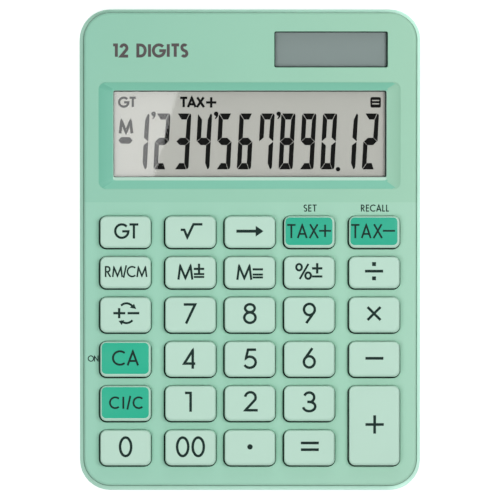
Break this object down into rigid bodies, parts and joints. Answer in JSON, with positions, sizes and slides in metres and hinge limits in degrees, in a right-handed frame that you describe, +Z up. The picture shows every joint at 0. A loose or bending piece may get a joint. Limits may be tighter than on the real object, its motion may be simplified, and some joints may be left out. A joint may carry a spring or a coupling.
{
  "type": "desktop calculator",
  "caption": "Mini-desktop electronic calculator with a raised sloping display panel, sunk liquid crystal window, solar cell and rubber-sprung push keys in a two-part case.",
  "frame": {"origin": "middle of the footprint, at the level of the table the feet stand on", "axes": "+X to the right, +Y from the front edge to the display end, +Z up"},
  "size_m": [0.105, 0.1482, 0.0261],
  "materials": {
    "case_plastic": "matte",
    "key_plastic": "matte",
    "steel": "satin",
    "foot_rubber": "matte",
    "clear_lens": "gloss",
    "lcd_glass": "satin",
    "holder_plastic": "matte",
    "ribbon_film": "satin",
    "solar_window_plastic": "gloss",
    "solar_glass": "satin",
    "foam": "matte",
    "red_insulation": "satin",
    "black_insulation": "satin",
    "keypad_rubber": "matte",
    "board_laminate": "satin",
    "chip_resin": "gloss",
    "capacitor_sleeve": "gloss",
    "cell_steel": "satin",
    "contact_metal": "satin"
  },
  "bodies": {
    "case": {"upper_case": "case_plastic", "lower_case": "case_plastic", "case_screws": "steel", "rubber_feet": "foot_rubber", "display_lens": "clear_lens", "lcd_front_glass": "lcd_glass", "lcd_rear_glass": "lcd_glass", "lcd_holder": "holder_plastic", "lcd_holder_screws": "steel", "lcd_ribbon": "ribbon_film", "solar_window": "solar_window_plastic", "solar_cell": "solar_glass", "solar_pad": "foam", "solar_wire_plus": "red_insulation", "solar_wire_minus": "black_insulation", "rubber_keypad": "keypad_rubber", "circuit_board": "board_laminate", "board_screws": "steel", "chip_blob": "chip_resin", "capacitor": "capacitor_sleeve", "button_cell": "cell_steel", "battery_contact_plus": "contact_metal", "battery_contact_minus": "contact_metal", "battery_wire_plus": "red_insulation", "battery_wire_minus": "black_insulation"},
    "battery_cover": {"battery_cover": "case_plastic"},
    "battery_cover_screw": {"battery_cover_screw": "steel"},
    "key_grand_total": {"key_grand_total": "key_plastic"},
    "key_square_root": {"key_square_root": "key_plastic"},
    "key_digit_shift": {"key_digit_shift": "key_plastic"},
    "key_tax_plus": {"key_tax_plus": "key_plastic"},
    "key_tax_minus": {"key_tax_minus": "key_plastic"},
    "key_memory_recall": {"key_memory_recall": "key_plastic"},
    "key_memory_plus": {"key_memory_plus": "key_plastic"},
    "key_memory_minus": {"key_memory_minus": "key_plastic"},
    "key_percent": {"key_percent": "key_plastic"},
    "key_divide": {"key_divide": "key_plastic"},
    "key_sign_change": {"key_sign_change": "key_plastic"},
    "key_7": {"key_7": "key_plastic"},
    "key_8": {"key_8": "key_plastic"},
    "key_9": {"key_9": "key_plastic"},
    "key_multiply": {"key_multiply": "key_plastic"},
    "key_clear_all": {"key_clear_all": "key_plastic"},
    "key_4": {"key_4": "key_plastic"},
    "key_5": {"key_5": "key_plastic"},
    "key_6": {"key_6": "key_plastic"},
    "key_minus": {"key_minus": "key_plastic"},
    "key_clear_entry": {"key_clear_entry": "key_plastic"},
    "key_1": {"key_1": "key_plastic"},
    "key_2": {"key_2": "key_plastic"},
    "key_3": {"key_3": "key_plastic"},
    "key_plus": {"key_plus": "key_plastic"},
    "key_0": {"key_0": "key_plastic"},
    "key_00": {"key_00": "key_plastic"},
    "key_point": {"key_point": "key_plastic"},
    "key_equals": {"key_equals": "key_plastic"}
  },
  "joints": [
    {"name": "battery_cover_screw_out", "type": "slide", "parent": "case", "child": "battery_cover_screw", "axis": [0, 0, -1], "range_m": [0, 0.016]},
    {"name": "battery_cover_off", "type": "slide", "parent": "case", "child": "battery_cover", "axis": [0, 0, -1], "range_m": [0, 0.012]},
    {"name": "press_key_grand_total", "type": "slide", "parent": "case", "child": "key_grand_total", "axis": [0, 0.0558, -0.9984], "range_m": [0, 0.0013], "stiffness_N_per_m": 400, "springref_m": -0.0006, "deforming": ["rubber_keypad"]},
    {"name": "press_key_square_root", "type": "slide", "parent": "case", "child": "key_square_root", "axis": [0, 0.0558, -0.9984], "range_m": [0, 0.0013], "stiffness_N_per_m": 400, "springref_m": -0.0006, "deforming": ["rubber_keypad"]},
    {"name": "press_key_digit_shift", "type": "slide", "parent": "case", "child": "key_digit_shift", "axis": [0, 0.0558, -0.9984], "range_m": [0, 0.0013], "stiffness_N_per_m": 400, "springref_m": -0.0006, "deforming": ["rubber_keypad"]},
    {"name": "press_key_tax_plus", "type": "slide", "parent": "case", "child": "key_tax_plus", "axis": [0, 0.0558, -0.9984], "range_m": [0, 0.0013], "stiffness_N_per_m": 400, "springref_m": -0.0006, "deforming": ["rubber_keypad"]},
    {"name": "press_key_tax_minus", "type": "slide", "parent": "case", "child": "key_tax_minus", "axis": [0, 0.0558, -0.9984], "range_m": [0, 0.0013], "stiffness_N_per_m": 400, "springref_m": -0.0006, "deforming": ["rubber_keypad"]},
    {"name": "press_key_memory_recall", "type": "slide", "parent": "case", "child": "key_memory_recall", "axis": [0, 0.0558, -0.9984], "range_m": [0, 0.0013], "stiffness_N_per_m": 400, "springref_m": -0.0006, "deforming": ["rubber_keypad"]},
    {"name": "press_key_memory_plus", "type": "slide", "parent": "case", "child": "key_memory_plus", "axis": [0, 0.0558, -0.9984], "range_m": [0, 0.0013], "stiffness_N_per_m": 400, "springref_m": -0.0006, "deforming": ["rubber_keypad"]},
    {"name": "press_key_memory_minus", "type": "slide", "parent": "case", "child": "key_memory_minus", "axis": [0, 0.0558, -0.9984], "range_m": [0, 0.0013], "stiffness_N_per_m": 400, "springref_m": -0.0006, "deforming": ["rubber_keypad"]},
    {"name": "press_key_percent", "type": "slide", "parent": "case", "child": "key_percent", "axis": [0, 0.0558, -0.9984], "range_m": [0, 0.0013], "stiffness_N_per_m": 400, "springref_m": -0.0006, "deforming": ["rubber_keypad"]},
    {"name": "press_key_divide", "type": "slide", "parent": "case", "child": "key_divide", "axis": [0, 0.0558, -0.9984], "range_m": [0, 0.0013], "stiffness_N_per_m": 400, "springref_m": -0.0006, "deforming": ["rubber_keypad"]},
    {"name": "press_key_sign_change", "type": "slide", "parent": "case", "child": "key_sign_change", "axis": [0, 0.0558, -0.9984], "range_m": [0, 0.0013], "stiffness_N_per_m": 400, "springref_m": -0.0006, "deforming": ["rubber_keypad"]},
    {"name": "press_key_7", "type": "slide", "parent": "case", "child": "key_7", "axis": [0, 0.0558, -0.9984], "range_m": [0, 0.0013], "stiffness_N_per_m": 400, "springref_m": -0.0006, "deforming": ["rubber_keypad"]},
    {"name": "press_key_8", "type": "slide", "parent": "case", "child": "key_8", "axis": [0, 0.0558, -0.9984], "range_m": [0, 0.0013], "stiffness_N_per_m": 400, "springref_m": -0.0006, "deforming": ["rubber_keypad"]},
    {"name": "press_key_9", "type": "slide", "parent": "case", "child": "key_9", "axis": [0, 0.0558, -0.9984], "range_m": [0, 0.0013], "stiffness_N_per_m": 400, "springref_m": -0.0006, "deforming": ["rubber_keypad"]},
    {"name": "press_key_multiply", "type": "slide", "parent": "case", "child": "key_multiply", "axis": [0, 0.0558, -0.9984], "range_m": [0, 0.0013], "stiffness_N_per_m": 400, "springref_m": -0.0006, "deforming": ["rubber_keypad"]},
    {"name": "press_key_clear_all", "type": "slide", "parent": "case", "child": "key_clear_all", "axis": [0, 0.0558, -0.9984], "range_m": [0, 0.0013], "stiffness_N_per_m": 400, "springref_m": -0.0006, "deforming": ["rubber_keypad"]},
    {"name": "press_key_4", "type": "slide", "parent": "case", "child": "key_4", "axis": [0, 0.0558, -0.9984], "range_m": [0, 0.0013], "stiffness_N_per_m": 400, "springref_m": -0.0006, "deforming": ["rubber_keypad"]},
    {"name": "press_key_5", "type": "slide", "parent": "case", "child": "key_5", "axis": [0, 0.0558, -0.9984], "range_m": [0, 0.0013], "stiffness_N_per_m": 400, "springref_m": -0.0006, "deforming": ["rubber_keypad"]},
    {"name": "press_key_6", "type": "slide", "parent": "case", "child": "key_6", "axis": [0, 0.0558, -0.9984], "range_m": [0, 0.0013], "stiffness_N_per_m": 400, "springref_m": -0.0006, "deforming": ["rubber_keypad"]},
    {"name": "press_key_minus", "type": "slide", "parent": "case", "child": "key_minus", "axis": [0, 0.0558, -0.9984], "range_m": [0, 0.0013], "stiffness_N_per_m": 400, "springref_m": -0.0006, "deforming": ["rubber_keypad"]},
    {"name": "press_key_clear_entry", "type": "slide", "parent": "case", "child": "key_clear_entry", "axis": [0, 0.0558, -0.9984], "range_m": [0, 0.0013], "stiffness_N_per_m": 400, "springref_m": -0.0006, "deforming": ["rubber_keypad"]},
    {"name": "press_key_1", "type": "slide", "parent": "case", "child": "key_1", "axis": [0, 0.0558, -0.9984], "range_m": [0, 0.0013], "stiffness_N_per_m": 400, "springref_m": -0.0006, "deforming": ["rubber_keypad"]},
    {"name": "press_key_2", "type": "slide", "parent": "case", "child": "key_2", "axis": [0, 0.0558, -0.9984], "range_m": [0, 0.0013], "stiffness_N_per_m": 400, "springref_m": -0.0006, "deforming": ["rubber_keypad"]},
    {"name": "press_key_3", "type": "slide", "parent": "case", "child": "key_3", "axis": [0, 0.0558, -0.9984], "range_m": [0, 0.0013], "stiffness_N_per_m": 400, "springref_m": -0.0006, "deforming": ["rubber_keypad"]},
    {"name": "press_key_plus", "type": "slide", "parent": "case", "child": "key_plus", "axis": [0, 0.0558, -0.9984], "range_m": [0, 0.0013], "stiffness_N_per_m": 700, "springref_m": -0.0006, "deforming": ["rubber_keypad"]},
    {"name": "press_key_0", "type": "slide", "parent": "case", "child": "key_0", "axis": [0, 0.0558, -0.9984], "range_m": [0, 0.0013], "stiffness_N_per_m": 400, "springref_m": -0.0006, "deforming": ["rubber_keypad"]},
    {"name": "press_key_00", "type": "slide", "parent": "case", "child": "key_00", "axis": [0, 0.0558, -0.9984], "range_m": [0, 0.0013], "stiffness_N_per_m": 400, "springref_m": -0.0006, "deforming": ["rubber_keypad"]},
    {"name": "press_key_point", "type": "slide", "parent": "case", "child": "key_point", "axis": [0, 0.0558, -0.9984], "range_m": [0, 0.0013], "stiffness_N_per_m": 400, "springref_m": -0.0006, "deforming": ["rubber_keypad"]},
    {"name": "press_key_equals", "type": "slide", "parent": "case", "child": "key_equals", "axis": [0, 0.0558, -0.9984], "range_m": [0, 0.0013], "stiffness_N_per_m": 400, "springref_m": -0.0006, "deforming": ["rubber_keypad"]}
  ],
  "couplings": [
    {"joint": "battery_cover_off", "follows": "battery_cover_screw_out", "ratio": 0.75}
  ]
}
